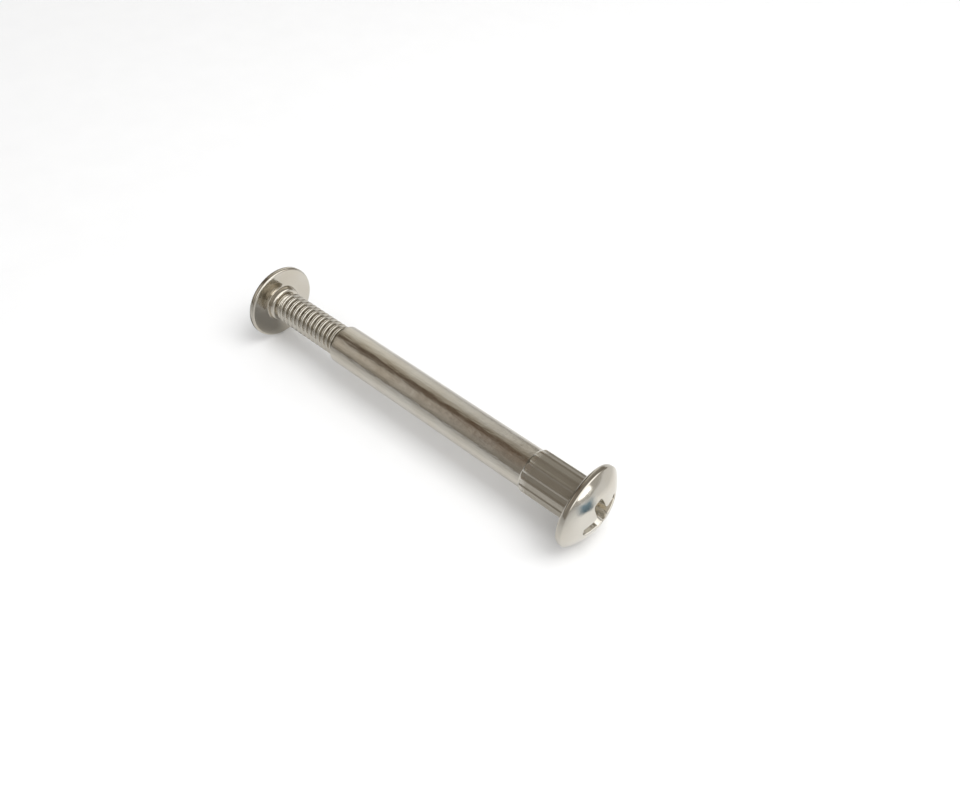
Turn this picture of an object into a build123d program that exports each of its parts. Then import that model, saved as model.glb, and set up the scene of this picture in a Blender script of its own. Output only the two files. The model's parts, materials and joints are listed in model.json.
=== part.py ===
from build123d import *
from math import atan, cos, degrees, radians, sin, tan
import os

# A binding barrel screw: a tube-like barrel with a domed head, and a matching
# screw that threads into the barrel's mouth. Two boards are clamped between
# the two heads. The pair lies along X on the rims of its two heads: the
# screw's head is at -X, the barrel's at +X, and the floor is at Z = 0. The
# screw's head is a little smaller, so the axis leans down towards it.

# ---- driving dimensions, in millimetres and degrees ----

# Head of the barrel.
barrel_head_diameter = 10.5
barrel_head_height = 2.8  # from the flat underside to the top of the dome
barrel_rim_height = 0.8  # where the dome meets the side of the rim
barrel_underside_radius = 0.4  # rolled edge round the flat underside
barrel_dome_radius = 0.3  # soft edge where the rim turns into the dome

# Head of the screw, which is thinner and has a sharper rim.
screw_head_diameter = 9.9
screw_head_height = 2.5
screw_rim_height = 0.45
screw_underside_radius = 0.2
screw_dome_radius = 0.15

# Cross recess, one in each head.
recess_diameter = 5.7  # across the wing tips, level with the top of the dome
recess_depth = 1.8  # down to where the wings end
wing_width = 1.6  # at the top, narrowing towards the floor
wing_flank_angle = 5.0  # lean of each wing's two flanks
wing_end_angle = 26.5  # lean of each wing's outer end
recess_floor_diameter = 2.5  # the cone that the punch leaves below the wings
recess_floor_depth = 0.45
barrel_recess_turn = 14.0  # how the two recesses happen to be turned
screw_recess_turn = 40.0

# Barrel.
barrel_diameter = 5.1
barrel_length = 38.1  # from the mouth to the underside of the head
mouth_edge_chamfer = 0.15
mouth_countersink = 0.2
bore_depth = 30.0  # full-size part of the blind hole
drill_point_angle = 118.0

# Splined neck under the barrel's head, which bites into the board.
neck_length = 7.2
neck_flats_width = 5.3  # across the flat bottoms of the grooves
neck_crest_diameter = 5.6  # over the ribs
rib_count = 16
rib_radius = 0.25  # each rib's rounded back
neck_lead_length = 0.4  # tapered start of the neck

# Screw, with a No. 8 thread at 32 to the inch. The shank is the plain
# cylinder round the outside of the thread.
thread_diameter = 4.17
thread_clearance = 0.05  # radial running clearance in the bore
screw_length = 25.4  # under the head
collar_diameter = 4.4  # plain shoulder between the head and the thread
collar_length = 0.8
point_chamfer = 0.45

# How far the screw stands out of the barrel: underside of its head to the mouth.
screw_gap = 12.0

# ---- places worked out from the sizes ----

# Along the axis, from the middle of the pair's length.
overall_length = screw_head_height + screw_gap + barrel_length + barrel_head_height
barrel_underside = overall_length / 2 - barrel_head_height
screw_underside = screw_head_height - overall_length / 2

# The barrel's rim meets the floor at its inner edge and the screw's at its
# outer edge, because the axis leans.
barrel_contact = barrel_underside + barrel_underside_radius
screw_contact = screw_underside - screw_rim_height
rim_difference = (barrel_head_diameter - screw_head_diameter) / 2
lean = degrees(atan(rim_difference / (barrel_contact - screw_contact)))
middle_height = barrel_head_diameter / 2 * cos(radians(lean)) - barrel_contact * sin(radians(lean))

# Each piece is built upright, with its head's underside at Z = 0, the dome
# above it and the shank below, then laid down on the axis here.
axis_place = Pos(0, 0, middle_height) * Rot(0, -lean, 0)
barrel_plane = Plane(origin=(barrel_underside, 0, 0), x_dir=(0, 1, 0), z_dir=(1, 0, 0))
screw_plane = Plane(origin=(screw_underside, 0, 0), x_dir=(0, 1, 0), z_dir=(-1, 0, 0))
barrel_place = axis_place * barrel_plane.location
screw_place = axis_place * screw_plane.location


def upright_rod(diameter, bottom, top):
    """A round rod on the Z axis from one height to another."""
    return Pos(0, 0, bottom) * Cylinder(diameter / 2, top - bottom, align=(Align.CENTER, Align.CENTER, Align.MIN))


def upright_cone(bottom_diameter, top_diameter, bottom, top):
    """A cone frustum on the Z axis from one height to another."""
    frustum = Cone(
        bottom_diameter / 2,
        top_diameter / 2,
        top - bottom,
        align=(Align.CENTER, Align.CENTER, Align.MIN),
    )
    return Pos(0, 0, bottom) * frustum


def cross_recess(head_height, turn):
    """The tool shape of a cross recess: four tapered wings and a small cone below them."""
    spread = 2 * recess_depth * tan(radians(wing_end_angle))
    floor = head_height - recess_depth
    wing = Rectangle(recess_diameter, wing_width)
    cross = wing + Rot(0, 0, 90) * wing
    wings = extrude(Pos(0, 0, head_height) * cross, -recess_depth, taper=wing_flank_angle)
    ends = upright_cone(recess_diameter - spread, recess_diameter, floor, head_height)
    floor_cone = upright_cone(0.2, recess_floor_diameter, floor - recess_floor_depth, floor)
    return Rot(0, 0, turn) * ((wings & ends) + floor_cone)


def domed_head(diameter, height, rim_height, underside_radius, dome_radius, recess_turn):
    """A round head: flat underside, rolled rim, low dome and a cross recess."""
    radius = diameter / 2
    underside = Line((0, 0), (radius, 0))
    rim = Line((radius, 0), (radius, rim_height))
    dome = TangentArc((0, height), (radius, rim_height), tangent=(1, 0))
    centre = Line((0, height), (0, 0))
    profile = make_face(Curve() + [underside, rim, dome, centre])
    dome_corner = profile.vertices().group_by(Axis.X)[-1].sort_by(Axis.Y)[-1]
    profile = fillet(dome_corner, min(dome_radius, 0.4 * rim_height))
    underside_corner = profile.vertices().filter_by_position(Axis.Y, -0.001, 0.001).sort_by(Axis.X)[-1]
    profile = fillet(underside_corner, min(underside_radius, 0.5 * rim_height))
    head = revolve(Plane.XZ * profile, Axis.Z)
    return head - cross_recess(height, recess_turn)


def barrel_head():
    """The barrel's head, from its own sizes."""
    return domed_head(
        barrel_head_diameter,
        barrel_head_height,
        barrel_rim_height,
        barrel_underside_radius,
        barrel_dome_radius,
        barrel_recess_turn,
    )


def screw_head():
    """The screw's head, from its own sizes."""
    return domed_head(
        screw_head_diameter,
        screw_head_height,
        screw_rim_height,
        screw_underside_radius,
        screw_dome_radius,
        screw_recess_turn,
    )


def splined_neck():
    """Rounded ribs with flat grooves between them, cut back to a taper where the neck starts."""
    rib_centre = neck_crest_diameter / 2 - rib_radius
    section = RegularPolygon(neck_flats_width / 2, rib_count, major_radius=False)
    section += PolarLocations(rib_centre, rib_count) * Circle(rib_radius)
    ribbed = Pos(0, 0, -neck_length) * extrude(section, neck_length)
    lead_top = neck_lead_length - neck_length
    envelope = upright_cone(barrel_diameter, neck_crest_diameter, -neck_length, lead_top)
    envelope += upright_rod(neck_crest_diameter + rib_radius, lead_top, 0)
    return ribbed & envelope


def make_barrel():
    """The internally threaded post: head, splined neck, smooth tube and blind bore."""
    tube = upright_rod(barrel_diameter, -barrel_length, 0)
    mouth_edge = tube.edges().filter_by(GeomType.CIRCLE).sort_by(Axis.Z)[0]
    tube = chamfer(mouth_edge, mouth_edge_chamfer)
    bore_diameter = thread_diameter + 2 * thread_clearance
    bore_end = bore_depth - barrel_length
    drill_point = bore_diameter / 2 / tan(radians(drill_point_angle / 2))
    bore = upright_rod(bore_diameter, -barrel_length, bore_end)
    bore += upright_cone(bore_diameter, 0, bore_end, bore_end + drill_point)
    countersink = upright_cone(
        bore_diameter + 2 * mouth_countersink,
        bore_diameter,
        -barrel_length,
        mouth_countersink - barrel_length,
    )
    return barrel_head() + tube + splined_neck() - bore - countersink


def make_screw():
    """The male half: its head, a short collar and the threaded shank."""
    shank = upright_rod(thread_diameter, -screw_length, -collar_length)
    point_edge = shank.edges().filter_by(GeomType.CIRCLE).sort_by(Axis.Z)[0]
    shank = chamfer(point_edge, point_chamfer)
    collar = upright_rod(collar_diameter, -collar_length, 0)
    return screw_head() + collar + shank


barrel = barrel_place * make_barrel()
screw = screw_place * make_screw()

os.makedirs("parts", exist_ok=True)
export_step(barrel, "parts/barrel.step")
export_step(screw, "parts/screw.step")
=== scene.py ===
# %% [markdown]
# # A binding barrel screw, dressed for a close-up
#
# A binding barrel screw clamps two boards between its two heads. It is two pieces of
# nickel-plated steel. The barrel is a tube with a domed head and an internal thread. The screw
# has a slightly smaller head and threads into the barrel's mouth. The CAD model gives both
# pieces at their real size. This lesson keeps those sizes and adds what a close-up needs: the
# real thread, softened edges, and a metal whose look comes from what it mirrors.

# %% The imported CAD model
import json
import math
from types import SimpleNamespace

import bpy
import numpy as np
from mathutils import Matrix, Vector


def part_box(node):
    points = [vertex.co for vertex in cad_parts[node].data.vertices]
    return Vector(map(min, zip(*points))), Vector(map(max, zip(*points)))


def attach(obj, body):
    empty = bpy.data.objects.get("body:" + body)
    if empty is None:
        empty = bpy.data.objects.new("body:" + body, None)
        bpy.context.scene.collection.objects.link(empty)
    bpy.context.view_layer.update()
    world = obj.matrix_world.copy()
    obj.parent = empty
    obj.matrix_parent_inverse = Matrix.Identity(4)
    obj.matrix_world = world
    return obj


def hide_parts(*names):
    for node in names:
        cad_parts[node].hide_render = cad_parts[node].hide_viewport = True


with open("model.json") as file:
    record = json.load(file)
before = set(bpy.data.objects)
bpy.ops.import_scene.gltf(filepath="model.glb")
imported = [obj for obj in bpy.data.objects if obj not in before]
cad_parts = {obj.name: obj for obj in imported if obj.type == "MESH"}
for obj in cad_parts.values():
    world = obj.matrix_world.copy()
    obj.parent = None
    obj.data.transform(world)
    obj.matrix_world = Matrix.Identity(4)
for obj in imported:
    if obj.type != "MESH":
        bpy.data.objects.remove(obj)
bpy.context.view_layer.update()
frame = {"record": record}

MM = 0.001  # one millimetre in Blender's metres

# %% [markdown]
# ## Where things are
#
# Places could be typed in, but then they would go wrong when the CAD model changes. So every
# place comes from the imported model. The record's mounts say where the tube's axis runs, how long
# the smooth tube is and where the underside of each head lies, and the boxes say how wide the
# heads are. The pair rests on the rims of two unequal heads, so its axis leans by a third of a
# degree. Distances along the axis are measured from the middle of the smooth tube.

# %% The axis and what lies along it, in millimetres
mounts = {mount["name"]: mount for mount in frame["record"]["mounts"]}
tube_mount = mounts["barrel_tube"]
axis_point = np.array(tube_mount["pos_m"]) / MM
along = -np.array(tube_mount["axis"])
across = np.array([0.0, 1.0, 0.0])
up = np.cross(along, across)


def distance_along(name):
    """How far along the axis a mount lies: its offset from the axis point, dotted with the axis."""
    return float((np.array(mounts[name]["pos_m"]) / MM - axis_point) @ along)


def width(node):
    """A node's extent across the axis, from its box."""
    low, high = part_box(node)
    return (high[1] - low[1]) / MM


barrel_seat = distance_along("barrel_head_seat")
screw_seat = distance_along("screw_head_seat")
tube_radius = tube_mount["dims"]["r_mm"]
tube_half = tube_mount["dims"]["length_mm"] / 2
neck_length = barrel_seat - tube_half

print("axis leans", round(math.degrees(math.asin(along[2])), 2), "degrees")
print("seats at", round(screw_seat, 2), "and", round(barrel_seat, 2), "neck", round(neck_length, 2))

# %% [markdown]
# ## The camera
#
# The bolt is looked at from close by, so the near head looks larger than the far one. The
# camera's place and lens settle how much larger, so they come before any light or finish. The
# camera stands in front and above, towards the barrel's head, and looks down past the middle.

# %% The camera
camera_place = Vector((54.32, -54.13, 86.54)) * MM
camera_aim = Vector((-0.4336, 0.5259, -0.7317))
camera_roll = math.radians(1.97)

camera_data = bpy.data.cameras.new("close_up_camera")
camera_data.lens = 34.28
camera_data.sensor_width = 36.0
camera_data.clip_start = 0.005
camera = bpy.data.objects.new("close_up_camera", camera_data)
facing_aim = camera_aim.to_track_quat("-Z", "Y").to_matrix().to_4x4()
camera.matrix_world = Matrix.Translation(camera_place) @ facing_aim @ Matrix.Rotation(camera_roll, 4, "Z")
bpy.context.scene.collection.objects.link(camera)
bpy.context.scene.camera = camera
print("camera", round(camera_place.length / MM), "mm from the middle of the bolt")

# %% [markdown]
# ## A skin of rings
#
# Everything here was turned, rolled or stamped round one axis. So each piece is a stack of
# closed rings with the same number of points. A ring can be a circle, a circle with ribs, one
# slice of a thread or the outline of the cross recess. Stacked from the inside of the bore over
# the tube and the head to the bottom of the recess, they make one closed skin, with points just
# where the shape turns. A subdivided cylinder would need far more points for the same edges.

# %% Rings round the axis
def bearings(count):
    """The bearing of each point on a ring, in even steps round the axis."""
    return np.arange(count) / count * 2 * np.pi


def ring_points(radius, height, count):
    """Points from radii and heights: radius times the cosine and sine of the bearing, and the
    height. Both broadcast, so a column gives one circle a row and a table gives any shape."""
    angle = bearings(count)
    radius = radius + 0 * angle
    return np.stack([radius * np.cos(angle), radius * np.sin(angle), height + 0 * radius], -1)


def turned(profile, count):
    """Rings from a profile of (height, radius) pairs: each pair becomes one circle."""
    height, radius = np.asarray(profile, float).T[:, :, None]
    return ring_points(radius, height, count)


print("two circles of eight points make an array of", turned([(0, 1), (1, 1)], 8).shape)

# %% [markdown]
# ## Profiles
#
# A lathe tool follows a profile, and so do most of these rings. A profile is a list of (height,
# radius) pairs along the axis. Real edges are never sharp: a small arc or curve at each corner
# catches a thin line of light. A Bevel modifier could round them all alike, but here each edge
# has its own size, so the profiles carry it.

# %% Arcs, straight runs and soft corners
def arc(middle, radius, start, end, steps):
    """Points on a circle's arc in the (height, radius) plane, between two angles in degrees. At
    0 degrees it points away from the axis, and at 90 degrees up towards the dome."""
    angle = np.radians(np.linspace(start, end, steps))
    return np.stack([middle[0] + radius * np.sin(angle), middle[1] + radius * np.cos(angle)], -1)


def straight(start, end, steps):
    """Even steps from one value or point to another, without the first."""
    return np.linspace(start, end, steps + 1)[1:]


def softened(corners, cuts, steps=5):
    """A profile through corners, each inner one rounded. The curve leaves one side a cut away
    from the corner and joins the other side as far behind it. In between it is the quadratic
    curve (1-t)^2 A + 2t(1-t) C + t^2 B, which touches both sides."""
    corners = np.asarray(corners, float)
    points = [corners[:1]]
    share = np.linspace(0, 1, steps)[:, None]
    for before, corner, after, cut in zip(corners, corners[1:], corners[2:], cuts):
        leave = corner + (before - corner) * cut / np.linalg.norm(before - corner)
        join = corner + (after - corner) * cut / np.linalg.norm(after - corner)
        points.append((1 - share) ** 2 * leave + 2 * share * (1 - share) * corner + share**2 * join)
    return np.concatenate(points + [corners[-1:]])


print("a quarter turn in four points", arc((0, 0), 1, 0, 90, 4).round(2).tolist())

# %% [markdown]
# ## From rings to a mesh
#
# Neighbouring rings are joined by quads, and the first and last ring are each closed by a fan
# round their middle, so the skin has no hole. Whole arrays go into the mesh at once, which is
# much quicker than adding points one by one. Each point also keeps how hard the dies worked the
# metal there, because the plate's material needs it.

# %% Faces and meshes
def skin_faces(rows, count):
    """Quads between each ring and the next, and a fan that closes the first and last ring."""
    corner = np.arange(rows * count).reshape(rows, count)
    after = np.roll(corner, -1, axis=1)
    quads = np.stack([corner[:-1], after[:-1], after[1:], corner[1:]], -1).reshape(-1, 4)
    first, last = rows * count, rows * count + 1
    start = np.stack([np.full(count, first), after[0], corner[0]], -1)
    end = np.stack([np.full(count, last), corner[-1], after[-1]], -1)
    return quads, np.concatenate([start, end])


def skin_mesh(name, rings, worked, seat, facing):
    """A mesh from rings of (across, up, height) in millimetres. Height runs along the axis from
    the head's underside, towards the barrel's head if facing is 1 and away from it if it is -1.
    Each end closes on the middle of its ring. `worked` says how hard the dies worked each ring's
    surface, from 0 to 1."""
    rows, count, _ = rings.shape
    ends = np.stack([rings[0].mean(0), rings[-1].mean(0)])
    side, rise, height = np.concatenate([rings.reshape(-1, 3), ends]).T[:, :, None]
    places = axis_point + (seat + facing * height) * along + side * across + facing * rise * up
    quads, fans = skin_faces(rows, count)
    sides = np.concatenate([np.full(len(quads), 4), np.full(len(fans), 3)])
    mesh = bpy.data.meshes.new(name)
    mesh.vertices.add(len(places))
    mesh.vertices.foreach_set("co", (places * MM).astype(np.float32).ravel())
    mesh.loops.add(quads.size + fans.size)
    mesh.loops.foreach_set("vertex_index", np.concatenate([quads.ravel(), fans.ravel()]).astype(np.int32))
    mesh.polygons.add(len(sides))
    mesh.polygons.foreach_set("loop_start", (np.cumsum(sides) - sides).astype(np.int32))
    mesh.update(calc_edges=True)
    mesh.validate()
    mesh.shade_smooth()
    attribute = mesh.attributes.new("die_worked", "FLOAT", "POINT")
    values = np.concatenate([np.repeat(worked, count), [worked[0], worked[-1]]])
    attribute.data.foreach_set("value", values.astype(np.float32))
    return mesh


print("three rings of eight points make", [len(part) for part in skin_faces(3, 8)], "quads and triangles")

# %% Stacks and pieces
def stacked(*bands):
    """One stack from several bands of rings, each with how hard its surface was worked."""
    rings = np.concatenate([band for band, _ in bands])
    worked = np.concatenate([np.full(len(band), share) for band, share in bands])
    return rings, worked


def placed(name, mesh, body):
    """An object for a mesh, which rides on its body and stands for the body's CAD node."""
    piece = bpy.data.objects.new(name, mesh)
    bpy.context.scene.collection.objects.link(piece)
    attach(piece, body)
    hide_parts(body)
    return piece


# how hard the dies worked each surface: heads and drilled holes stay mirror-bright, the drawn
# tube keeps faint streaks, a rolled thread is a little dull, and the pressed neck is dull all over
bright, drawn, rolled, pressed = 0.0, 0.07, 0.25, 1.0
seam = 0.05  # how near neighbouring bands of rings come, in millimetres
print("surfaces from", bright, "to", pressed)

# %% [markdown]
# ## The heads
#
# The heads are cold-formed: a punch upsets the end of the wire into a die, which leaves a flat
# underside, a short rolled rim and a low dome. A squashed sphere would have the wrong rim. Here
# the dome is part of a true sphere, and its radius follows from how far it stands above the rim.
# Dome and rim both run into a small arc that touches them, so that light slides round the edge
# instead of breaking off.
#
# A few sizes can't be read from boxes and mounts, and they are repeated here as the CAD model
# has them. Only the screw's head differs a little from it: its rim and its edges are fuller.

# %% Sizes of the heads, in millimetres and radians
barrel_head = SimpleNamespace(
    radius=width("barrel") / 2,
    height=2.8,
    rim_height=0.8,
    underside_radius=0.4,
    dome_radius=0.3,
    recess_turn=math.radians(14.0),
)
screw_head = SimpleNamespace(
    radius=width("screw") / 2,
    height=2.5,
    rim_height=0.66,
    underside_radius=0.28,
    dome_radius=0.22,
    recess_turn=math.radians(40.0),
)
for head in (barrel_head, screw_head):
    dome_rise = head.height - head.rim_height
    head.sphere_radius = (head.radius**2 + dome_rise**2) / (2 * dome_rise)
    head.sphere_middle = head.height - head.sphere_radius
    print("head", round(2 * head.radius, 2), "mm across, dome of radius", round(head.sphere_radius, 2))


# %% The dome and the rim
def dome_height(head, radius):
    """Height of the dome at a distance from the axis: the sphere's middle plus the other leg of
    the right-angled triangle under the sphere's radius."""
    return head.sphere_middle + np.sqrt(head.sphere_radius**2 - radius**2)


def rim_profile(head):
    """From the flat underside round the rolled edge, up the rim and over onto the dome. The
    upper arc touches the rim and the sphere, so its middle lies one arc radius inside both."""
    flat_edge = head.radius - head.underside_radius
    rolled_edge = arc((head.underside_radius, flat_edge), head.underside_radius, -90, 0, steps=10)
    inner = head.radius - head.dome_radius
    middle = head.sphere_middle + math.sqrt((head.sphere_radius - head.dome_radius) ** 2 - inner**2)
    lean = math.degrees(math.atan2(middle - head.sphere_middle, inner))
    return np.concatenate([rolled_edge, arc((middle, inner), head.dome_radius, 0, lean, steps=8)])


print("rim profile in", len(rim_profile(barrel_head)), "points")

# %% [markdown]
# ## The cross recess
#
# The driver's recess is punched into the dome while it is formed, so its edges roll over softly
# and its wings lean inwards on the way down. A Boolean cut would leave knife edges. Here the
# rings themselves change from a circle into a cross, roll over the edge, go down the walls and
# close on the conical bottom.

# %% Sizes of the recess, in millimetres and radians
recess = SimpleNamespace(
    radius=2.85,
    depth=1.8,
    half_width=0.8,
    flank_lean=math.radians(5.0),
    end_lean=math.radians(26.5),
    floor_radius=1.25,
    floor_depth=0.45,
    edge_radius=0.22,
)
blend_share = 0.82  # the circle starts to become the cross at this share of the head's radius
floor_shares = (0.97, 0.85, 0.7, 0.55, 0.4, 0.25, 0.12, 0.02)  # rings on the floor, inside the wall's foot
print("recess", 2 * recess.radius, "mm across and", recess.depth + recess.floor_depth, "mm deep")


# %% The outline of the cross at one depth
def cross_outline(tip_radius, half_width, turn, count, softness=6.0, fineness=64):
    """The outline of a turned cross, as points at even distances along it. At each bearing a
    wing reaches out to the nearer of its round tip and its straight flank, which is half_width
    over the sine of the bearing from the wing. Two crossed wings reach to the farther of the
    two. Powers take the place of nearer and farther, and round the corners off."""
    angle = bearings(fineness * count)
    sine, cosine = (np.maximum(np.abs(wave(angle - turn)), 1e-6) for wave in (np.sin, np.cos))
    along_x = (tip_radius**-softness + (half_width / sine) ** -softness) ** (-1 / softness)
    along_y = (tip_radius**-softness + (half_width / cosine) ** -softness) ** (-1 / softness)
    reach = (along_x**softness + along_y**softness) ** (1 / softness)
    outline = np.stack([reach * np.cos(angle), reach * np.sin(angle)], -1)
    closed = np.concatenate([outline, outline[:1]])
    walked = np.concatenate([[0], np.cumsum(np.linalg.norm(np.diff(closed, axis=0), axis=1))])
    wanted = np.arange(count) / count * walked[-1]
    return np.stack([np.interp(wanted, walked, closed[:, axis]) for axis in (0, 1)], -1)


tips = np.linalg.norm(cross_outline(recess.radius, recess.half_width, 0.0, 96), axis=1)
print("the cross reaches from", round(tips.min(), 2), "to", round(tips.max(), 2), "mm")


# %% Over the edge of the recess
def on_dome(head, flat):
    """Points with the dome's own height under them."""
    return np.column_stack([flat, dome_height(head, np.linalg.norm(flat, axis=1))])


def mouth_rings(head, start_radius, count):
    """From a circle on the dome to the cross, and over its rounded edge. Over the edge, the
    inset and the drop are one less the sine and the cosine of a quarter turn."""
    angle = bearings(count)
    circle = np.stack([np.cos(angle), np.sin(angle)], -1) * start_radius
    edge = recess.edge_radius
    mouth = cross_outline(recess.radius + edge, recess.half_width + edge, head.recess_turn, count)
    rings = [on_dome(head, circle + (mouth - circle) * share) for share in straight(0, 1, steps=18)]
    for quarter in np.radians(straight(0, 90, steps=7)):
        inset = edge * (1 - math.sin(quarter))
        tip_radius, half_width = recess.radius + inset, recess.half_width + inset
        ring = on_dome(head, cross_outline(tip_radius, half_width, head.recess_turn, count))
        ring[:, 2] -= edge * (1 - math.cos(quarter))
        rings.append(ring)
    return rings


print("rings from the dome into the recess", len(mouth_rings(barrel_head, 4.0, 12)))


# %% Down the walls
def well_rings(head, top, count):
    """Down the walls, which lean inwards by their own angles, and over the floor to the tip of
    the cone that the punch leaves."""
    floor = head.height - recess.depth
    rings = []
    for share in straight(0, 1, steps=12):
        depth = recess.depth * share
        outline = cross_outline(
            recess.radius - depth * math.tan(recess.end_lean),
            recess.half_width - depth * math.tan(recess.flank_lean),
            head.recess_turn,
            count,
        )
        rings.append(np.column_stack([outline, top + (floor - top) * share]))
    for share in floor_shares:
        flat = outline * share
        cone = np.clip(1 - np.linalg.norm(flat, axis=1) / recess.floor_radius, 0, 1)
        rings.append(np.column_stack([flat, floor - recess.floor_depth * cone]))
    return rings


def head_rings(head, root_radius, count):
    """All rings of a head, from the shank's root over the underside, the rim and the dome into
    the recess."""
    rim = rim_profile(head)
    blend_radius = blend_share * head.radius
    underside = np.linspace((0, root_radius + seam), (0, rim[0][1] - seam), num=6)
    radii = straight(rim[-1][1], blend_radius, steps=8)
    dome = np.stack([dome_height(head, radii), radii], -1)
    outside = turned(np.concatenate([underside, rim, dome]), count)
    mouth = mouth_rings(head, blend_radius, count)
    well = well_rings(head, mouth[-1][:, 2], count)
    return np.concatenate([outside, np.stack(mouth + well)])


print("a whole head takes", len(head_rings(barrel_head, tube_radius, 12)), "rings")

# %% [markdown]
# ## The splined neck
#
# Under the barrel's head the tube is pressed between dies that raise sixteen ribs. They bite
# into the board, so that the barrel can't turn while the screw is driven. Between the ribs the
# metal stays almost flat. Sixteen rods joined to the tube would leave hard creases. Here the
# neck's radius is one function of the bearing, with a small hollow beside each rib, and at the
# neck's start a cone cuts it back to the tube.

# %% Sizes of the neck, in millimetres
neck = SimpleNamespace(flat_radius=2.65, crest_radius=2.8, ribs=16, rib_radius=0.25, lead=0.4)
neck.hollow = 0.02  # how softly a rib runs into the groove beside it
neck.below = 0.2  # how far under the groove a rib is taken to dip
lead_rows, body_rows = 9, 10
print("neck", 2 * neck.flat_radius, "mm across its flats and", 2 * neck.crest_radius, "over its ribs")


# %% The neck
def neck_radius(bearing):
    """The farther of a flat groove and the rib on its corner. A flat at distance d from the axis
    has radius d over the cosine of the bearing from its middle. A rib is a circle round a point
    on the rib's bearing, and its radius is the far solution of the law of cosines. The two meet
    in a small hollow: half the sum plus half the root of the squared difference and a softness."""
    pitch = 2 * np.pi / neck.ribs
    from_rib = (bearing + pitch / 2) % pitch - pitch / 2
    groove = neck.flat_radius / np.cos(np.abs(from_rib) - pitch / 2)
    rib_middle = neck.crest_radius - neck.rib_radius
    inside = neck.rib_radius**2 - (rib_middle * np.sin(from_rib)) ** 2
    rib = np.where(inside > 0, rib_middle * np.cos(from_rib) + np.sqrt(np.maximum(inside, 0)), 0)
    rib = np.maximum(rib, groove - neck.below)
    return (groove + rib + np.sqrt((groove - rib) ** 2 + neck.hollow**2)) / 2


def neck_rings(count):
    """Rings from the neck's start to the head: the ribbed section, cut back by the lead-in cone."""
    lead = np.linspace(0, 1, lead_rows)
    cone = tube_radius + (neck.crest_radius + neck.hollow - tube_radius) * lead
    body = straight(neck.lead, neck_length - seam, steps=body_rows - 1)
    heights = np.concatenate([neck.lead * lead, body, [neck_length]])
    limits = np.concatenate([cone, np.full(body_rows, neck.crest_radius + neck.rib_radius)])
    radius = np.minimum(neck_radius(bearings(count))[None, :], limits[:, None])
    return ring_points(radius, (heights - neck_length)[:, None], count)


ribbed = neck_radius(bearings(288))
print("the neck's radius runs from", round(ribbed.min(), 3), "to", round(ribbed.max(), 3), "mm")

# %% [markdown]
# ## The thread
#
# A screw of this kind has its thread rolled between two flat dies, which press the roots in and
# push the crests out. The flanks lean about 30 degrees each way, and crests and roots come out a
# little rounded. A Screw modifier could sweep a section along a helix, but its ends would hang
# open. Here a point's radius depends on one number, its phase: how far along the axis it is, in
# pitches, less its bearing, in turns. In a right-hand thread a whole turn moves the crest one
# pitch along.

# %% Sizes of the thread, in millimetres
thread_radius = 2.085
thread_pitch = 25.4 / 32  # 32 turns to the inch
thread_depth = 0.58 * thread_pitch
flank_stretch = 1.28  # flanks this much steeper than a plain zigzag's leave flats at crest and root
crest_rounding = 0.10  # and this much of a sine rounds where they meet
print("thread", 2 * thread_radius, "mm across,", round(thread_pitch, 3), "from crest to crest")


# %% The thread's section
def thread_rise(phase):
    """Share of the thread's depth at each phase, 0 at the root and 1 at the crest: a triangle
    wave, stretched past both ends, clipped, and rounded by a sine."""
    wave = np.abs((phase % 1) * 2 - 1)
    clipped = np.clip((wave - 0.5) * flank_stretch + 0.5, 0, 1)
    return clipped - crest_rounding * np.sin(2 * np.pi * clipped)


def ease(share):
    """A smooth step from 0 to 1: 3x^2 - 2x^3."""
    share = np.clip(share, 0, 1)
    return share**2 * (3 - 2 * share)


def thread_grid(start, end, rows_a_pitch):
    """A column of heights along a stretch of thread, with rows_a_pitch of them in each pitch."""
    rows = int(abs(end - start) / thread_pitch * rows_a_pitch) + 1
    return np.linspace(start, end, rows)[:, None]


def rise_at(height, seat_phase, count):
    """The thread's rise over a grid of heights and bearings."""
    turns = bearings(count)[None, :] / (2 * np.pi)
    return thread_rise(height / thread_pitch - turns + seat_phase)


print("rise over half a pitch", thread_rise(np.linspace(0.5, 1, 6)).round(2).tolist())

# %% [markdown]
# ## The screw
#
# The shank runs from its chamfered point to the collar under the head, where the dies stop and
# the thread runs out. The collar is a rounded bead that swells towards the head, because the
# struck metal doesn't fill the corner of the die sharply, where the CAD model has a plain one.
# One skin over point, thread, collar and head has no seam to show, as pieces pushed into each
# other would.

# %% The screw's skin
screw_count = 192  # points on a ring
screw_length = 25.4
collar_radius, collar_length = 2.2, 0.8
collar_swell, collar_flare = 0.1, 0.30  # what is added to its radius, by the thread and by the head
foot_drop, foot_inset = 0.06, 0.04  # from its last corner to where it meets the head
point_chamfer = 0.45
point_radii = (0.4, 0.9, 1.3)  # rings on the flat end of the point
point_fade, collar_fade = 0.6, 0.7  # lengths over which the thread runs out at its ends

tip = -screw_length
root_radius = thread_radius - thread_depth
foot_radius = collar_radius + collar_flare

shank_height = thread_grid(tip, -collar_length, rows_a_pitch=12)
fade = ease((shank_height - tip) / point_fade) * ease((-collar_length - shank_height) / collar_fade)
shank_radius = root_radius + thread_depth * rise_at(shank_height, 0.0, screw_count) * fade
shank_radius = np.minimum(shank_radius, thread_radius - point_chamfer + (shank_height - tip))
shank = ring_points(shank_radius, shank_height, screw_count)
point = turned([(tip, radius) for radius in point_radii], screw_count)
print("shank in", len(shank), "rings")

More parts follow.
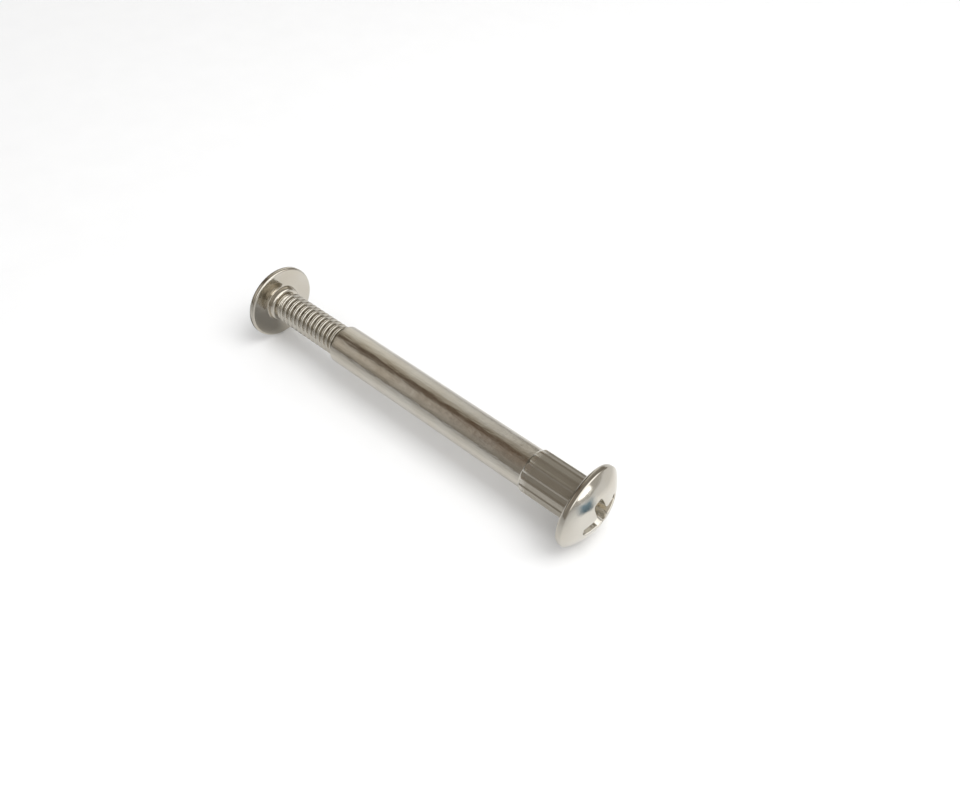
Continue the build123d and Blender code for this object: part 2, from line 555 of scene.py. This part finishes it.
# %% The collar, and the screw as a piece
collar_corners = [
    (-collar_length, root_radius + seam),
    (-collar_length, collar_radius + collar_swell),
    (-foot_drop, foot_radius - foot_inset),
    (0, foot_radius),
]
collar = turned(softened(collar_corners, cuts=(0.40, 0.05), steps=8)[:-1], screw_count)
screw_rings, screw_worked = stacked(
    (point, rolled),
    (shank, rolled),
    (collar, bright),
    (head_rings(screw_head, foot_radius, screw_count), bright),
)
screw_mesh = skin_mesh("threaded_screw", screw_rings, screw_worked, screw_seat, -1)
screw_piece = placed("threaded_screw", screw_mesh, "screw")
print("screw", len(screw_rings), "rings,", 2 * screw_count * len(screw_rings), "triangles")

# %% [markdown]
# ## The barrel
#
# The barrel's skin starts at the bottom of the drilled hole, comes up the bore and its thread,
# turns round the mouth and runs back along the outside. The hole could be left plain, but the
# thread shows at the mouth when the screw is run out. It uses the same section as the screw's, a
# clearance wider, and its phase is worked out from the two seats, so that the crests of one lie
# in the roots of the other.

# %% Sizes of the barrel, in millimetres
barrel_count = 288  # points on a ring: 18 for each rib
mouth_edge = 0.15
mouth_countersink = 0.2
bore_depth = 30.0
bore_thread_length = 12.0
bore_fade = 1.5  # length over which the bore's thread runs out
drill_half_angle = math.radians(59.0)
thread_clearance = 0.05

barrel_mouth = -tube_half - mouth_edge
barrel_length = barrel_seat - barrel_mouth
mouth = -barrel_length
bore_radius = thread_radius + thread_clearance
bore_end = bore_depth - barrel_length
drill_tip = bore_end + bore_radius / math.tan(drill_half_angle)
thread_end = mouth + bore_thread_length
print("barrel", round(barrel_length, 2), "long, the screw stands out", round(barrel_mouth - screw_seat, 2))

# %% The bore
first_ring = (drill_tip - 0.02, 0.03)
drill_corners = [first_ring, (bore_end, bore_radius), (thread_end, bore_radius)]
hole = turned(softened(drill_corners, cuts=(0.3,)), barrel_count)
bore_height = thread_grid(thread_end, mouth, rows_a_pitch=9)[1:]
bore_rise = rise_at(bore_height, (barrel_seat - screw_seat) / thread_pitch, barrel_count)
run_out = ease((thread_end - bore_height) / bore_fade)
threaded = bore_radius - thread_depth * (1 - bore_rise) * run_out
countersink = bore_radius + mouth_countersink - (bore_height - mouth)
bore = ring_points(np.maximum(threaded, countersink), bore_height, barrel_count)
print("bore thread in", len(bore), "rings")

# %% The outside, and the barrel as a piece
edge_end = mouth + 1.0  # the mouth's soft edges lie within a millimetre of it
mouth_corners = [
    (mouth, bore_radius + mouth_countersink),
    (mouth, tube_radius - mouth_edge),
    (mouth + mouth_edge, tube_radius),
    (edge_end, tube_radius),
]
mouth_profile = softened(mouth_corners, cuts=(0.05, 0.05))[1:]
tube_profile = straight((edge_end, tube_radius), (-neck_length - seam, tube_radius), steps=30)
outside = turned(np.concatenate([mouth_profile, tube_profile]), barrel_count)
splines = neck_rings(barrel_count)
barrel_rings, barrel_worked = stacked(
    (hole, bright),
    (bore, rolled),
    (outside, drawn),
    (splines[:lead_rows], bright),
    (splines[lead_rows:], pressed),
    (head_rings(barrel_head, neck.crest_radius, barrel_count), bright),
)
barrel_mesh = skin_mesh("plated_barrel", barrel_rings, barrel_worked, barrel_seat, 1)
barrel_piece = placed("plated_barrel", barrel_mesh, "barrel")
print("barrel", len(barrel_rings), "rings,", 2 * barrel_count * len(barrel_rings), "triangles")

# %% [markdown]
# ## Colours and nodes
#
# A finish is a small tree of nodes. Trees can be drawn by hand in Blender's editor, but written
# down they can be read and repeated. One function adds any node: its settings are the node's own
# options and inputs, and an input takes a number, a hex colour, or another node to link. Colours
# are written in sRGB, as a paint chart gives them, and shaders need them linear.

# %% Colours and nodes
def srgb(code):
    """Linear colour of an sRGB hex value: a dark part is divided by 12.92, and any other part
    plus 0.055, over 1.055, is raised to the power of 2.4."""
    parts = [int(code[i:i + 2], 16) / 255 for i in (1, 3, 5)]
    return [c / 12.92 if c <= 0.04045 else ((c + 0.055) / 1.055) ** 2.4 for c in parts] + [1.0]


def add_node(tree, kind, settings):
    """Adds a node. Each setting is an option or an input of it, and an input is given a value, a
    hex colour, or a node or socket to link. A node gives the first output that it offers."""
    node = tree.nodes.new("ShaderNode" + kind)
    for name, value in settings.items():
        if isinstance(name, str) and hasattr(node, name):
            setattr(node, name, value)
            continue
        if isinstance(value, bpy.types.Node):
            value = next(output for output in value.outputs if not output.is_unavailable)
        if isinstance(value, bpy.types.NodeSocket):
            tree.links.new(value, node.inputs[name])
        else:
            node.inputs[name].default_value = srgb(value) if isinstance(value, str) else value
    return node


def new_material(name):
    """An empty node material and its tree."""
    material = bpy.data.materials.new(name)
    material.use_nodes = True
    material.node_tree.nodes.clear()
    return material, material.node_tree


print("a mid grey of #808080 is", round(srgb("#808080")[0], 3), "in linear light")

# %% [markdown]
# A few more things come back in these trees. A pattern's size is a real size in millimetres. A
# value is spread from one range to another, such as the middle of a noise, where nearly all of
# it lies. A colour changes in bands along a value. And a mask says where something applies.

# %% Sizes, ranges, bands and masks
noise_range = (0.3, 0.7)
colour_mix = {"data_type": "RGBA"}
multiply = {"data_type": "RGBA", "blend_type": "MULTIPLY", "Factor": 1.0}


def features(size):
    """A noise's scale for features of a size in millimetres: it counts them in a metre."""
    return 1 / (size * MM)


def spread(low, high, start, end):
    """Settings that spread a value, which runs from low to high, from start to end."""
    return {"From Min": low, "From Max": high, "To Min": start, "To Max": end}


def banded(tree, value, low, high, stops):
    """A colour that changes with a value between low and high, through stops of (value, colour)."""
    share = add_node(tree, "MapRange", {"Value": value, **spread(low, high, 0.0, 1.0)})
    node = add_node(tree, "ValToRGB", {"Fac": share})
    elements = node.color_ramp.elements
    elements.remove(elements[-1])
    for number, (place, code) in enumerate(stops):
        position = (place - low) / (high - low)
        element = elements[0] if number == 0 else elements.new(position)
        element.position = position
        element.color = srgb(code)
    return node


def mask(tree, *limits):
    """A soft mask, 1 where something applies: the product of one step for each (value, outside,
    inside), which goes from 0 to 1 as its value goes from outside to inside."""
    product = 1.0
    for value, outside, inside in limits:
        step = add_node(tree, "MapRange", {"Value": value, **spread(outside, inside, 0.0, 1.0)})
        product = add_node(tree, "Math", {"operation": "MULTIPLY", 0: product, 1: step})
    return product


print("features of 5 mm need a scale of", round(features(5.0)))

# %% [markdown]
# ## Nickel plate
#
# Bright nickel is plated on from a bath, a few microns thick. It has almost no colour of its
# own: a pale grey with a little warmth, and the rest is what it mirrors. What tells it from
# chrome or polished steel is small. The plate follows the drawn steel under it, so a mirrored
# edge wanders by a degree or so and frays along the tube, and the polish is a little uneven.
# Where dies pressed the metal, on the thread and most of all on the neck, it is duller.
#
# An image of worn metal would slide over the skin and repeat. Noise in the object's own place
# has neither fault, and each finish reads how hard the dies worked the metal from the mesh.

# %% The plate's colour
cloud_size = 5.0


def plate_colour(tree, place, worked):
    """Pale grey with a little warmth, cloudy by a shade over a few millimetres, and a deeper
    grey where the dies worked the metal."""
    cloud_noise = add_node(tree, "TexNoise", {"Vector": place, "Scale": features(cloud_size), "Detail": 2.0})
    clouds = add_node(tree, "MapRange", {"Value": cloud_noise, **spread(*noise_range, 0.0, 1.0)})
    tint = add_node(tree, "Mix", {**colour_mix, "Factor": clouds, "A": "#CDC9C0", "B": "#C6BFB2"})
    return add_node(tree, "Mix", {**colour_mix, "Factor": worked, "A": tint, "B": "#B4AEA2"})


print("clouds of", cloud_size, "mm")

# %% The plate's polish
patch_size, patch_polish = 1.1, (0.07, 0.15)
line_width, line_polish = 0.09, (-0.02, 0.05)
worked_roughness = 0.28  # what the most worked metal adds


def plate_polish(tree, place, drawn_place, worked):
    """Roughness: patches that change over a millimetre, plus fine lines along the bolt, plus a
    share that grows with how hard the dies worked the metal."""
    patch_noise = add_node(tree, "TexNoise", {"Vector": place, "Scale": features(patch_size), "Detail": 4.0})
    patches = add_node(tree, "MapRange", {"Value": patch_noise, **spread(*noise_range, *patch_polish)})
    fine = {"Vector": drawn_place, "Scale": features(line_width), "Detail": 3.0}
    line_noise = add_node(tree, "TexNoise", fine)
    lines = add_node(tree, "MapRange", {"Value": line_noise, **spread(*noise_range, *line_polish)})
    polish = add_node(tree, "Math", {"operation": "ADD", 0: patches, 1: lines})
    return add_node(tree, "Math", {"operation": "MULTIPLY_ADD", 0: worked, 1: worked_roughness, 2: polish})


print("patches of", patch_size, "mm, lines", line_width, "mm wide")

# %% The plate's relief
lump_size, lump_height = 1.3, 0.026
grain_size, grain_height, grain_limit = 0.22, 0.05, 0.25
streak_width, streak_height = 0.4, 0.075  # real ones are finer than can be seen from here
drawn_streaks, rolled_streaks = 0.55, 0.25  # their strength on the tube, and how much rolling leaves


def plate_relief(tree, place, drawn_place, worked):
    """Where the normal points, from three heights. Lumps over a millimetre make mirrored edges
    wander. Grain grows with how hard the metal was worked, up to a limit. Streaks along the bolt
    are strongest on the drawn tube, and rolling flattens them."""
    lump_noise = add_node(tree, "TexNoise", {"Vector": place, "Scale": features(lump_size), "Detail": 6.0})
    lumps = add_node(tree, "Bump", {"Distance": lump_height * MM, "Height": lump_noise})

    grain_noise = add_node(tree, "TexNoise", {"Vector": place, "Scale": features(grain_size), "Detail": 3.0})
    strength = add_node(tree, "Math", {"operation": "MINIMUM", 0: worked, 1: grain_limit})
    raised = {"Distance": grain_height * MM, "Height": grain_noise, "Strength": strength, "Normal": lumps}
    grain = add_node(tree, "Bump", raised)

    coarse = {"Vector": drawn_place, "Scale": features(streak_width), "Detail": 4.0}
    streak_noise = add_node(tree, "TexNoise", coarse)
    appear = add_node(tree, "MapRange", {"Value": worked, **spread(bright, drawn, 0.0, drawn_streaks)})
    flatten = add_node(tree, "MapRange", {"Value": worked, **spread(drawn, rolled, 1.0, rolled_streaks)})
    strength = add_node(tree, "Math", {"operation": "MULTIPLY", 0: appear, 1: flatten})
    raised = {"Distance": streak_height * MM, "Height": streak_noise, "Strength": strength, "Normal": grain}
    return add_node(tree, "Bump", raised)


print("lumps of", lump_size, "mm, grain of", grain_size, "mm, streaks", streak_width, "mm wide")

# %% The plate
along_drawn = 0.2  # a pattern drawn out to five times its width along the bolt


def bright_nickel():
    """Nickel plate, mirror-bright on the heads and duller where dies rolled it. It gives the eye
    a warm pale mirror, with frayed reflections along the tube."""
    material, tree = new_material("bright_nickel_plate")
    place = add_node(tree, "TexCoord", {}).outputs["Object"]
    drawn_place = add_node(tree, "Mapping", {"Vector": place, "Scale": (along_drawn, 1.0, 1.0)})
    worked = add_node(tree, "Attribute", {"attribute_name": "die_worked"}).outputs["Fac"]
    finish = {
        "Metallic": 1.0,
        "Base Color": plate_colour(tree, place, worked),
        "Roughness": plate_polish(tree, place, drawn_place, worked),
        "Normal": plate_relief(tree, place, drawn_place, worked),
    }
    add_node(tree, "OutputMaterial", {"Surface": add_node(tree, "BsdfPrincipled", finish)})
    return material


nickel = bright_nickel()
for piece in (barrel_piece, screw_piece):
    piece.data.materials.append(nickel)
print("nickel plate with", len(nickel.node_tree.nodes), "nodes")

# %% [markdown]
# ## The table
#
# The bolt lies on a plain white table that runs off the frame on all sides. It is painted matte
# and a touch uneven, so the shadow's edge isn't perfectly clean.
#
# The lower half of a polished tube mirrors nothing but the table, and a white sheet that is
# evenly lit would leave it flat. In a studio the table falls off into grey away from the bolt,
# and dark things stand just past it. Real sheets and boxes would show in the frame and shade the
# floor. So the table carries painted shade, which only rays that the metal has mirrored see. It
# is greyer in bands along the bolt, as its light falls off, and it has two oval patches. A grey
# patch by the screw's head is painted shade where shade falls in the corner under the head, and
# the head's flat underside mirrors it. A dark patch past the head is a painted reflection of the
# dark things there, and it darkens the sides of the thread that face it.

# %% How the table looks in the metal
# bands and stops are in millimetres, centres in metres
front, back = -60, 40
# painted shade that only mirrored rays see: the table greyer in bands away from the bolt, as its light falls
# off
mirrored_painted_shade_bands = [
    (-60, "#B9B9B9"), (-30, "#BBBBBB"), (-11, "#D8D8D8"), (-6, "#F2F2F2"),
    (-3, "#FFFFFF"), (14, "#FFFFFF"), (22, "#E0E0E0"), (40, "#DCDCDC"),
]
# painted shade by the screw's head, where shade falls in the corner under it, seen only by mirrored rays
head_painted_shade = SimpleNamespace(
    centre=(-0.0205, -0.0010, 0),
    squeeze=(0.5, 1, 1),
    stops=[(0, "#B8B8B8"), (1.6, "#C0C0C0"), (2.6, "#FFFFFF")],
    reach=6,
)
# a dark painted patch past the screw's head: a painted reflection of dark things there, seen only by
# mirrored rays
past_painted_dark_reflection = SimpleNamespace(
    centre=(-0.0418, 0.0, 0),
    squeeze=(0.84, 1, 1),
    stops=[(0, "#646260"), (11.8, "#6E6C66"), (13.4, "#FFFFFF")],
    reach=20,
)


def painted_patch_shade(tree, place, patch):
    """The painted shade of an oval patch, by the distance from its centre in millimetres: the length
    of the offset, after the offset's parts are each multiplied by the squeeze."""
    offset = add_node(tree, "VectorMath", {"operation": "SUBTRACT", 0: place, 1: patch.centre})
    squeezed = add_node(tree, "VectorMath", {"operation": "MULTIPLY", 0: offset, 1: patch.squeeze})
    metres = add_node(tree, "VectorMath", {"operation": "LENGTH", 0: squeezed})
    distance = add_node(tree, "Math", {"operation": "MULTIPLY", 0: metres, 1: 1 / MM})
    return banded(tree, distance, 0, patch.reach, patch.stops)


print("patches centred", head_painted_shade.centre[0] / MM, "and", past_painted_dark_reflection.centre[0] / MM, "mm along the bolt")


# %% The table's paint
def matte_white():
    """Matte white paint: even and shadow-soft to the eye, mottled a few millimetres across. For
    mirrored rays it is multiplied by painted shade: bands along the bolt and two oval patches.
    """
    material, tree = new_material("matte_white_table")
    place = add_node(tree, "TexCoord", {}).outputs["Object"]
    mottling = add_node(tree, "TexNoise", {"Vector": place, "Scale": features(6.0), "Detail": 3.0})
    tint = add_node(tree, "Mix", {**colour_mix, "Factor": mottling, "A": "#F3F3F3", "B": "#F7F7F7"})

    backwards = add_node(tree, "SeparateXYZ", {0: place}).outputs["Y"]
    in_mm = add_node(tree, "Math", {"operation": "MULTIPLY", 0: backwards, 1: 1 / MM})
    bands = banded(tree, in_mm, front, back, mirrored_painted_shade_bands)
    past, head_shade = (painted_patch_shade(tree, place, patch) for patch in (past_painted_dark_reflection, head_painted_shade))
    patches = add_node(tree, "Mix", {**multiply, "A": past, "B": head_shade})
    falloff = add_node(tree, "Mix", {**multiply, "A": bands, "B": patches})

    # only mirrored rays see the painted shade of the bands and the patches
    mirrored = add_node(tree, "LightPath", {}).outputs["Is Glossy Ray"]
    colour = add_node(tree, "Mix", {**multiply, "Factor": mirrored, "A": tint, "B": falloff})
    finish = {"Base Color": colour, "Roughness": 0.8, "Specular IOR Level": 0.2}
    add_node(tree, "OutputMaterial", {"Surface": add_node(tree, "BsdfPrincipled", finish)})
    return material


table_paint = matte_white()
print("table paint with", len(table_paint.node_tree.nodes), "nodes")


# %% The table's top
def flat_sheet(name, corners, material):
    """A flat four-cornered sheet for the set, which isn't part of the object."""
    mesh = bpy.data.meshes.new(name)
    mesh.from_pydata(corners, [], [(0, 1, 2, 3)])
    sheet = bpy.data.objects.new(name, mesh)
    sheet.data.materials.append(material)
    bpy.context.scene.collection.objects.link(sheet)
    return sheet


half = 1.5
table_corners = [(-half, -half, 0), (half, -half, 0), (half, half, 0), (-half, half, 0)]
flat_sheet("table", table_corners, table_paint)
print("table", 2 * half, "m square")

# %% [markdown]
# ## The room that the metal mirrors
#
# A polished tube mirrors a strip of the room: across the tube the mirrored direction swings from
# the horizon behind, over the ceiling, down to the table in front. Panels and lamps all round
# would do it, and each would need its place found. Here the room is painted as bands that run
# along the bolt, and a band's place is one angle, from straight up towards the front. There are
# two sets of bands. From its mouth to its neck, what the tube mirrors slides from the first to
# the second, which is browner and darker, and so the tube darkens towards its neck.

# %% The bands
screw_end_bands = [
    (-180, "#DCDCDC"), (-95, "#FAFAF7"), (-63, "#F9F8F3"), (-47, "#EFECE5"), (-33, "#DAD6CD"),
    (-20, "#BEB7AB"), (-7, "#A79F93"), (2, "#62564A"), (9, "#6A5F54"), (17, "#7A7067"),
    (28, "#BFBAB3"), (40, "#D3CEC6"), (52, "#D8D2C9"), (63, "#C9C3BA"), (75, "#B3ADA4"),
    (87, "#7E7972"), (95, "#7E7972"), (180, "#DCDCDC"),
]
neck_end_bands = [
    (-180, "#7D7A76"), (-95, "#7D7A76"), (-75, "#D2D1CD"), (-47, "#DDDBD7"), (-33, "#C9C6C1"),
    (-20, "#B5B0A8"), (-7, "#978E81"), (2, "#665442"), (9, "#6B5949"), (17, "#77675A"),
    (28, "#928378"), (41, "#8E8278"), (52, "#857A72"), (63, "#9F9993"), (87, "#8E8A83"), (180, "#7D7A76"),
]

world = bpy.data.worlds.new("bands_and_window")
bpy.context.scene.world = world
world.use_nodes = True
tree = world.node_tree
tree.nodes.clear()

direction = add_node(tree, "TexCoord", {}).outputs["Generated"]
x, y, z = add_node(tree, "SeparateXYZ", {0: direction}).outputs
towards_front = add_node(tree, "Math", {"operation": "MULTIPLY", 0: y, 1: -1.0})
angle = add_node(tree, "Math", {"operation": "ARCTAN2", 0: towards_front, 1: z})
degrees = add_node(tree, "Math", {"operation": "DEGREES", 0: angle})
screw_end = banded(tree, degrees, -180, 180, screw_end_bands)
neck_end = banded(tree, degrees, -180, 180, neck_end_bands)
print("bands", len(screw_end_bands), "and", len(neck_end_bands))

# %% [markdown]
# Along the bolt the room changes too, and a direction's place is how far it points towards the
# barrel's head, from -1 to 1. The bands of the screw's end give way to those of the neck's end.
# Past them comes a middle grey, which the ribs mirror, and then a paler one for the barrel's
# head. Far towards the screw's end there is a dark wall, which the outer edge of the screw's
# head mirrors, and so do the sides of the thread that face it.
#
# Towards the barrel's head the room also has a bright ceiling, which the dome mirrors, and a low
# window. The window is over three times as bright as white paint, so it leaves the one hard
# glint on the dome.

# %% The ceiling and the window
degree = math.radians(1)
azimuth = add_node(tree, "Math", {"operation": "ARCTAN2", 0: y, 1: x})
window = mask(
    tree,
    (azimuth, -8 * degree, -3 * degree),
    (azimuth, 24 * degree, 17 * degree),
    (z, 0.10, 0.14),
    (z, 0.28, 0.24),
)
high_and_near = mask(tree, (x, 0.20, 0.40), (z, 0.30, 0.45))
whiter_behind = add_node(tree, "MapRange", {"Value": y, **spread(0.0, 0.2, 0.85, 1.0)})
ceiling = add_node(tree, "Math", {"operation": "MULTIPLY", 0: high_and_near, 1: whiter_behind})

window_glare, ceiling_glare = 2.6, 0.95  # how much brighter than white paint
glare = add_node(tree, "Math", {"operation": "MULTIPLY_ADD", 0: window, 1: window_glare, 2: 1.0})
brightness = add_node(tree, "Math", {"operation": "MULTIPLY_ADD", 0: ceiling, 1: ceiling_glare, 2: glare})
print("the window is", 1 + window_glare, "times as bright as white paint")

# %% The room, layer over layer
layers = [
    (mask(tree, (x, -0.56, -0.386)), neck_end),
    (mask(tree, (x, -0.356, -0.344)), "#8F8A83"),
    (mask(tree, (x, 0.1, 0.5)), "#BFBDB8"),
    (ceiling, "#FFFFFF"),
    (window, "#FFFFFF"),
    (mask(tree, (x, -0.64, -0.72)), "#68645D"),
]
room = screw_end
for covered, colour in layers:
    room = add_node(tree, "Mix", {**colour_mix, "Factor": covered, "A": room, "B": colour})
print("room of", len(layers), "layers over the screw end's bands")

# %% [markdown]
# ## What each kind of ray sees
#
# Only mirrored rays see the bands and the window. The table is lit by diffuse rays, and they get
# even white light, because a patterned room would stain the floor. The camera itself sees a
# plain pale wall where it looks past the table, which it does only from low down.

# %% Three backgrounds
table_light, behind_table = 0.80, 0.74
light_path = add_node(tree, "LightPath", {})
mirrored = add_node(tree, "Background", {"Color": room, "Strength": brightness})
lighting = add_node(tree, "Background", {"Color": "#FFFFFF", "Strength": table_light})
seen = add_node(tree, "Background", {"Color": "#FFFFFF", "Strength": behind_table})
lit = add_node(tree, "MixShader", {0: light_path.outputs["Is Diffuse Ray"], 1: mirrored, 2: lighting})
whole = add_node(tree, "MixShader", {0: light_path.outputs["Is Camera Ray"], 1: lit, 2: seen})
add_node(tree, "OutputWorld", {"Surface": whole})
print("world with", len(tree.nodes), "nodes")

# %% [markdown]
# ## The lamp
#
# One soft lamp, above and behind on the barrel's side, draws the bolt's shadow together in front
# of it. A sun would give a hard edge, and the even room alone would give hardly any shadow. The
# lamp is kept out of the mirror image, where it would be a white square on every crest.

# %% The lamp
lamp_side = 0.15
lamp_data = bpy.data.lights.new("overhead_lamp", "AREA")
lamp_data.shape = "RECTANGLE"
lamp_data.size, lamp_data.size_y = lamp_side, lamp_side
lamp_data.energy = 0.262
lamp = bpy.data.objects.new("overhead_lamp", lamp_data)
lamp.location = (0.095, 0.038, 0.22)
lamp.visible_glossy = False
bpy.context.scene.collection.objects.link(lamp)
print("lamp", round(lamp_data.energy, 3), "W,", lamp_side / MM, "mm square")

# %% [markdown]
# ## The card
#
# A small blue-grey card stands on the table past the barrel's head. It is no lamp, yet it glows,
# and its glow paints the dome's one cool patch of reflection. A patch painted on the metal would
# stay put when the bolt moves, and a mirrored one slides as it should. The card fades out towards
# its edges, so the patch is soft, and it is darker at its foot, as painted shade. Only mirrored
# rays see it, so it neither shows itself nor shades the table.

# %% The card's glow
card_strength = 0.72
# the glow's colours, darker at the card's foot as painted shade
card_stops = [(0.0, "#5E6A72"), (0.3, "#7E99AA"), (0.75, "#A2C0D4"), (1.0, "#AFC6D4")]
card_fades = {"Y": 0.34, "Z": 0.24}  # how much of the card's width and height each fade takes


def soft_card_glow():
    """A card that glows blue-grey, though it is no lamp, as a painted reflection for the dome. It is
    darker at its foot, as painted shade, and fades out towards its edges.
    """
    material, tree = new_material("blue_grey_card_painted_reflection")
    parts = add_node(tree, "SeparateXYZ", {0: add_node(tree, "TexCoord", {}).outputs["Generated"]})
    limits = []
    for axis, soft in card_fades.items():
        from_edge = add_node(tree, "Math", {"operation": "PINGPONG", 0: parts.outputs[axis], 1: 0.5})
        limits.append((from_edge, 0.0, soft))
    colour = banded(tree, parts.outputs["Z"], 0, 1, card_stops)
    glow = add_node(tree, "Emission", {"Strength": card_strength, "Color": colour})
    clear = add_node(tree, "BsdfTransparent", {})
    surface = add_node(tree, "MixShader", {0: mask(tree, *limits), 1: clear, 2: glow})
    add_node(tree, "OutputMaterial", {"Surface": surface})
    return material


card_glow = soft_card_glow()
print("card glow with", len(card_glow.node_tree.nodes), "nodes")


# %% The card
card_x, card_foot, card_top = 0.045, 0.0001, 0.0086
card_front, card_back = -0.0074, 0.0076
card_corners = [
    (card_x, card_front, card_foot),
    (card_x, card_back, card_foot),
    (card_x, card_back, card_top),
    (card_x, card_front, card_top),
]
card = flat_sheet("blue_card_painted_reflection", card_corners, card_glow)
# the card is no lamp: its glow is a painted reflection that only mirrored rays see
card.visible_camera = False
card.visible_diffuse = False
card.visible_shadow = False
print("card", round((card_back - card_front) / MM, 1), "by", round((card_top - card_foot) / MM, 1), "mm")

# %% [markdown]
# ## The view transform, and done
#
# The standard view transform shows each colour as it was chosen. A film-like one would grey the
# white table.

# %% The view transform, and done
bpy.context.scene.view_settings.view_transform = "Standard"
